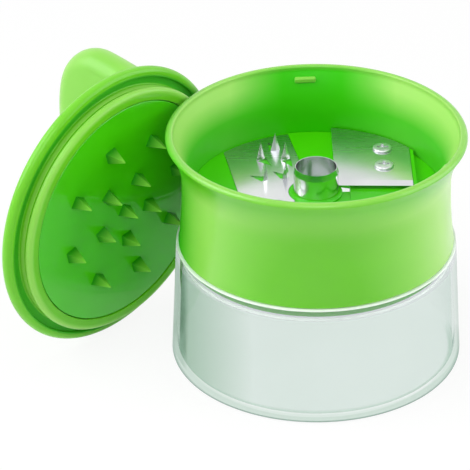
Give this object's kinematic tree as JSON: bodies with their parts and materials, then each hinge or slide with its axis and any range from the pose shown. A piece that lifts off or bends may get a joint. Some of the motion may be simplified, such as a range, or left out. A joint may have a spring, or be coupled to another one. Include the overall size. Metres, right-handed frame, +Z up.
{
  "type": "spiralizer",
  "caption": "Hand spiralizer: flared green cutter housing with slicing blade, scoring teeth and corer tube on a clear cup, and a spiked holder with a wing grip leaning beside it",
  "frame": {"origin": "centre of the cup's flat base, on the floor", "axes": "+Z up along the cup's axis, the holder leans on the -X side, the cutting edge faces -Y"},
  "size_m": [0.1541, 0.1, 0.0998],
  "materials": {
    "clear_plastic": "clear, polished",
    "green_plastic": "satin moulded",
    "blade_steel": "bright rolled sheet",
    "screw_steel": "zinc-plated"
  },
  "bodies": {
    "container": {"container_cup": "clear_plastic"},
    "cutter": {"cutter_housing": "green_plastic", "blade_deck": "green_plastic", "slicing_blade": "blade_steel", "scoring_plate": "blade_steel", "corer_tube": "blade_steel", "corer_collar": "green_plastic", "slicing_screw_1": "screw_steel", "slicing_screw_2": "screw_steel", "scoring_screw_1": "screw_steel", "scoring_screw_2": "screw_steel", "deck_screw_1": "screw_steel", "deck_screw_2": "screw_steel", "deck_screw_3": "screw_steel"},
    "holder_centre": {"centre_bolt": "screw_steel", "bolt_washer": "screw_steel"},
    "holder": {"holder_cap": "green_plastic", "spike_plate": "green_plastic", "wing_grip": "green_plastic", "grip_screw_1": "screw_steel", "grip_screw_2": "screw_steel"}
  },
  "joints": [
    {"name": "cutter_lift", "type": "slide", "parent": "container", "child": "cutter", "axis": [0, 0, 1], "range_m": [0, 0.05]},
    {"name": "holder_lift", "type": "slide", "parent": "container", "child": "holder_centre", "axis": [-0.1884, 0.1775, 0.9659], "range_m": [0, 0.12]},
    {"name": "holder_twist", "type": "hinge", "parent": "holder_centre", "child": "holder", "pos_m": [-0.06906, 0.01136, 0.04995], "axis": [-0.7263, 0.6844, 0.0645], "continuous": true}
  ]
}
